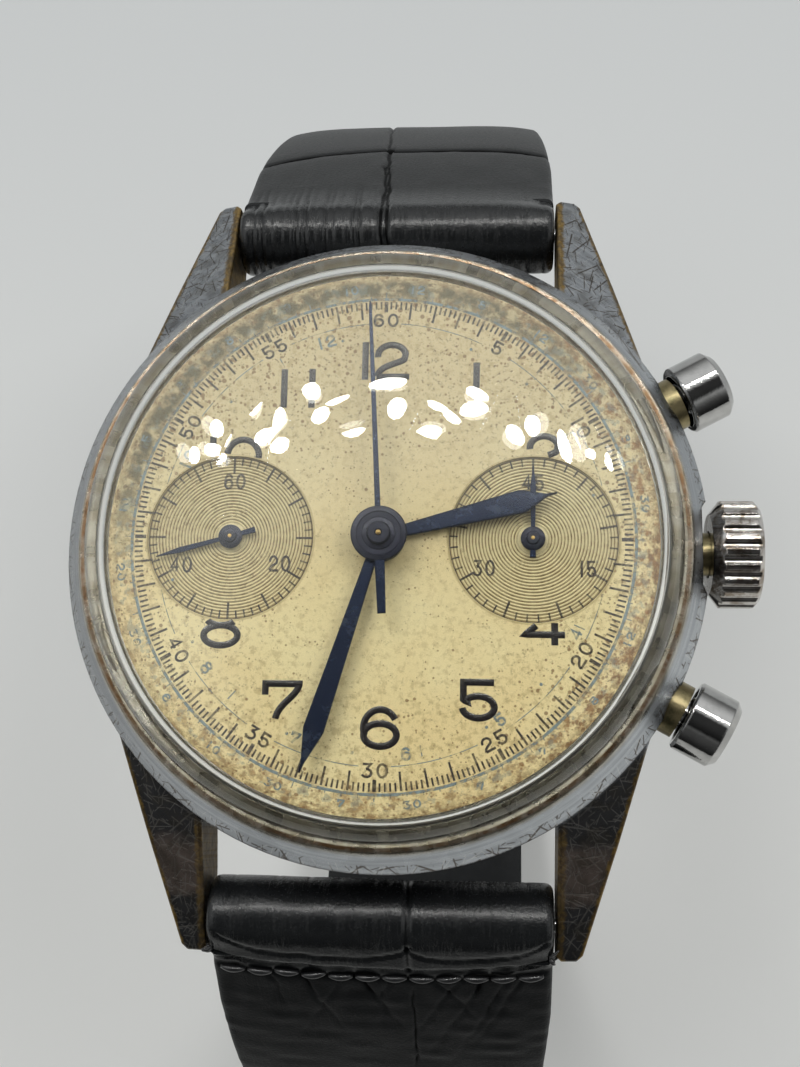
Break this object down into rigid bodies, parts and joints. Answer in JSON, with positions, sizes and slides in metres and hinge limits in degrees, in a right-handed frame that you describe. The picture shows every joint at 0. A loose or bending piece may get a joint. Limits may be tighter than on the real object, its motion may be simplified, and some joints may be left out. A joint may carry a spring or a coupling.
{
  "type": "chronograph wristwatch",
  "caption": "Round hand-wound chronograph wristwatch with domed crystal, crown, two pushers, sub-dials and a buckled leather strap.",
  "frame": {"origin": "centre of the case back's flat outer face", "axes": "+Z out of the dial, +Y towards 12 o'clock, +X towards the crown at 3 o'clock"},
  "size_m": [0.0368, 0.0698, 0.0563],
  "materials": {
    "chrome_case": "satin, worn to brass at the edges",
    "steel_back": "brushed",
    "rubber_seal": "matt",
    "acrylic": "clear, polished",
    "brass_tube": "stained",
    "chrome_bright": "polished",
    "steel": "polished",
    "dial_cream": "satin, spotted with age",
    "blued_steel": "gloss",
    "movement_gilt": "gilt",
    "ruby": "polished",
    "leather_black": "semi-gloss, creased"
  },
  "bodies": {
    "case": {"case_middle": "chrome_case", "case_back": "steel_back", "case_back_gasket": "rubber_seal", "crystal": "acrylic", "case_tubes": "brass_tube", "dial": "dial_cream", "main_plate": "movement_gilt", "barrel_bridge": "movement_gilt", "train_bridge": "movement_gilt", "balance_cock": "movement_gilt", "chrono_bridge": "movement_gilt", "jewels": "ruby", "bridge_screws": "steel", "crown_wheel_core": "steel", "lever_studs": "steel", "spring_bar_12": "steel", "spring_bar_6": "steel", "pusher_spring_start": "steel", "pusher_spring_reset": "steel"},
    "winding_pinion": {"winding_pinion": "steel", "sliding_pinion": "steel"},
    "crown": {"crown": "chrome_bright", "winding_stem": "steel"},
    "crown_wheel": {"crown_wheel": "steel"},
    "ratchet_wheel": {"ratchet_wheel": "steel"},
    "barrel": {"barrel_drum": "movement_gilt", "mainspring": "steel"},
    "center_wheel": {"center_wheel": "movement_gilt"},
    "third_wheel": {"third_wheel": "movement_gilt"},
    "fourth_wheel": {"fourth_wheel": "movement_gilt", "small_seconds_hand": "blued_steel"},
    "escape_wheel": {"escape_wheel": "steel"},
    "pallet_lever": {"pallet_lever": "steel"},
    "balance": {"balance_wheel": "movement_gilt", "hairspring": "steel"},
    "minute_hand": {"cannon_pinion": "steel", "minute_hand": "blued_steel"},
    "minute_wheel": {"minute_wheel": "movement_gilt"},
    "hour_hand": {"hour_wheel": "movement_gilt", "hour_hand": "blued_steel"},
    "chrono_seconds": {"chrono_runner": "movement_gilt", "chrono_seconds_hand": "blued_steel"},
    "intermediate_wheel": {"intermediate_wheel": "movement_gilt"},
    "minute_counter": {"counter_wheel": "movement_gilt", "minute_counter_hand": "blued_steel"},
    "coupling_lever": {"coupling_lever": "steel"},
    "coupling_wheel": {"coupling_wheel": "movement_gilt"},
    "column_wheel": {"column_wheel": "steel"},
    "pusher_start": {"pusher_start": "chrome_bright"},
    "pusher_reset": {"pusher_reset": "chrome_bright"},
    "start_lever": {"start_lever": "steel"},
    "reset_hammer": {"reset_hammer": "steel"},
    "strap_12": {"strap_12": "leather_black", "buckle_bar": "chrome_bright", "fixed_keeper": "leather_black"},
    "strap_6": {"strap_6": "leather_black"},
    "free_keeper": {"free_keeper": "leather_black"},
    "buckle": {"buckle_frame": "chrome_bright"},
    "tongue": {"buckle_tongue": "chrome_bright"}
  },
  "joints": [
    {"name": "crown_turn", "type": "hinge", "parent": "case", "child": "winding_pinion", "pos_m": [0.0122, 0, 0.0045], "axis": [1, 0, 0], "continuous": true},
    {"name": "crown_pull", "type": "slide", "parent": "winding_pinion", "child": "crown", "axis": [1, 0, 0], "range_m": [0, 0.0009]},
    {"name": "crown_wheel_turn", "type": "hinge", "parent": "case", "child": "crown_wheel", "pos_m": [0.01048, 0.00181, 0.003], "axis": [0, 0, 1], "continuous": true},
    {"name": "ratchet_turn", "type": "hinge", "parent": "case", "child": "ratchet_wheel", "pos_m": [0.00405, 0.00483, 0.003], "axis": [0, 0, 1], "continuous": true},
    {"name": "small_seconds_turn", "type": "hinge", "parent": "case", "child": "fourth_wheel", "pos_m": [-0.0078, 0, 0.004], "axis": [0, 0, 1], "continuous": true},
    {"name": "third_wheel_turn", "type": "hinge", "parent": "case", "child": "third_wheel", "pos_m": [-0.00453, -0.00199, 0.004], "axis": [0, 0, 1], "continuous": true},
    {"name": "center_wheel_turn", "type": "hinge", "parent": "case", "child": "center_wheel", "pos_m": [0, 0, 0.004], "axis": [0, 0, 1], "continuous": true},
    {"name": "barrel_turn", "type": "hinge", "parent": "case", "child": "barrel", "pos_m": [0.00405, 0.00483, 0.004], "axis": [0, 0, 1], "continuous": true},
    {"name": "escape_wheel_turn", "type": "hinge", "parent": "case", "child": "escape_wheel", "pos_m": [-0.00899, -0.00326, 0.0044], "axis": [0, 0, 1], "continuous": true},
    {"name": "pallet_swing", "type": "hinge", "parent": "case", "child": "pallet_lever", "pos_m": [-0.00678, -0.00536, 0.0044], "axis": [0, 0, 1], "range_deg": [-4, 4]},
    {"name": "balance_swing", "type": "hinge", "parent": "case", "child": "balance", "pos_m": [-0.0036, -0.0084, 0.004], "axis": [0, 0, 1], "range_deg": [-270, 270], "stiffness_Nm_per_rad": 0.0000005, "deforming": ["hairspring"]},
    {"name": "minute_hand_turn", "type": "hinge", "parent": "case", "child": "minute_hand", "pos_m": [0, 0, 0.008], "axis": [0, 0, 1], "continuous": true},
    {"name": "minute_wheel_turn", "type": "hinge", "parent": "case", "child": "minute_wheel", "pos_m": [0, -0.0024, 0.007], "axis": [0, 0, 1], "continuous": true},
    {"name": "hour_hand_turn", "type": "hinge", "parent": "case", "child": "hour_hand", "pos_m": [0, 0, 0.008], "axis": [0, 0, 1], "continuous": true},
    {"name": "chrono_seconds_turn", "type": "hinge", "parent": "case", "child": "chrono_seconds", "pos_m": [0, 0, 0.009], "axis": [0, 0, 1], "continuous": true},
    {"name": "intermediate_turn", "type": "hinge", "parent": "case", "child": "intermediate_wheel", "pos_m": [0.00256, 0.00092, 0.0018], "axis": [0, 0, 1], "continuous": true},
    {"name": "minute_counter_turn", "type": "hinge", "parent": "case", "child": "minute_counter", "pos_m": [0.0078, 0, 0.0016], "axis": [0, 0, 1], "continuous": true},
    {"name": "coupling_lever_swing", "type": "hinge", "parent": "case", "child": "coupling_lever", "pos_m": [-0.0082, 0.0066, 0.0014], "axis": [0, 0, 1], "range_deg": [0, 1.2]},
    {"name": "coupling_wheel_turn", "type": "hinge", "parent": "coupling_lever", "child": "coupling_wheel", "pos_m": [-0.00379, 0.00084, 0.002], "axis": [0, 0, 1], "continuous": true},
    {"name": "column_wheel_turn", "type": "hinge", "parent": "case", "child": "column_wheel", "pos_m": [0.0012, 0.0112, 0.0016], "axis": [0, 0, 1], "continuous": true},
    {"name": "pusher_start_press", "type": "slide", "parent": "case", "child": "pusher_start", "axis": [-0.8813, -0.4726, 0], "range_m": [0, 0.0008], "stiffness_N_per_m": 2000, "springref_m": -0.0015, "deforming": ["pusher_spring_start"]},
    {"name": "pusher_reset_press", "type": "slide", "parent": "case", "child": "pusher_reset", "axis": [-0.8813, 0.4726, 0], "range_m": [0, 0.0008], "stiffness_N_per_m": 2000, "springref_m": -0.0015, "deforming": ["pusher_spring_reset"]},
    {"name": "start_lever_swing", "type": "hinge", "parent": "case", "child": "start_lever", "pos_m": [0.0082, 0.0094, 0.0014], "axis": [0, 0, 1], "range_deg": [-12, 0]},
    {"name": "reset_hammer_swing", "type": "hinge", "parent": "case", "child": "reset_hammer", "pos_m": [0.0082, -0.0094, 0.0014], "axis": [0, 0, 1], "range_deg": [0, 12]},
    {"name": "strap_12_pivot", "type": "hinge", "parent": "case", "child": "strap_12", "pos_m": [0, 0.0194, 0.0019], "axis": [1, 0, 0], "range_deg": [0, 60]},
    {"name": "strap_6_pivot", "type": "hinge", "parent": "case", "child": "strap_6", "pos_m": [0, -0.0194, 0.0019], "axis": [-1, 0, 0], "range_deg": [0, 60], "deforming": ["strap_6"]},
    {"name": "free_keeper_slide", "type": "slide", "parent": "strap_12", "child": "free_keeper", "axis": [0, -1, 0], "range_m": [0, 0.0024]},
    {"name": "buckle_pivot", "type": "hinge", "parent": "strap_12", "child": "buckle", "pos_m": [0, 0.0005, -0.0399], "axis": [1, 0, 0], "range_deg": [0, 35]},
    {"name": "tongue_pivot", "type": "hinge", "parent": "buckle", "child": "tongue", "pos_m": [0, 0.0005, -0.0399], "axis": [1, 0, 0], "range_deg": [0, 20]}
  ],
  "couplings": [
    {"joint": "crown_wheel_turn", "follows": "crown_turn", "ratio": 0.56},
    {"joint": "ratchet_turn", "follows": "crown_turn", "ratio": -0.30435},
    {"joint": "third_wheel_turn", "follows": "small_seconds_turn", "ratio": -0.13333},
    {"joint": "center_wheel_turn", "follows": "small_seconds_turn", "ratio": 0.016667},
    {"joint": "barrel_turn", "follows": "small_seconds_turn", "ratio": -0.0025641},
    {"joint": "escape_wheel_turn", "follows": "small_seconds_turn", "ratio": -10},
    {"joint": "minute_wheel_turn", "follows": "minute_hand_turn", "ratio": -0.33333},
    {"joint": "hour_hand_turn", "follows": "minute_hand_turn", "ratio": 0.083333},
    {"joint": "intermediate_turn", "follows": "chrono_seconds_turn", "ratio": -0.13333},
    {"joint": "minute_counter_turn", "follows": "chrono_seconds_turn", "ratio": 0.022222},
    {"joint": "coupling_wheel_turn", "follows": "small_seconds_turn", "ratio": -3.8462},
    {"joint": "start_lever_swing", "follows": "pusher_start_press", "rad_per_m": -232},
    {"joint": "reset_hammer_swing", "follows": "pusher_reset_press", "rad_per_m": 232}
  ]
}
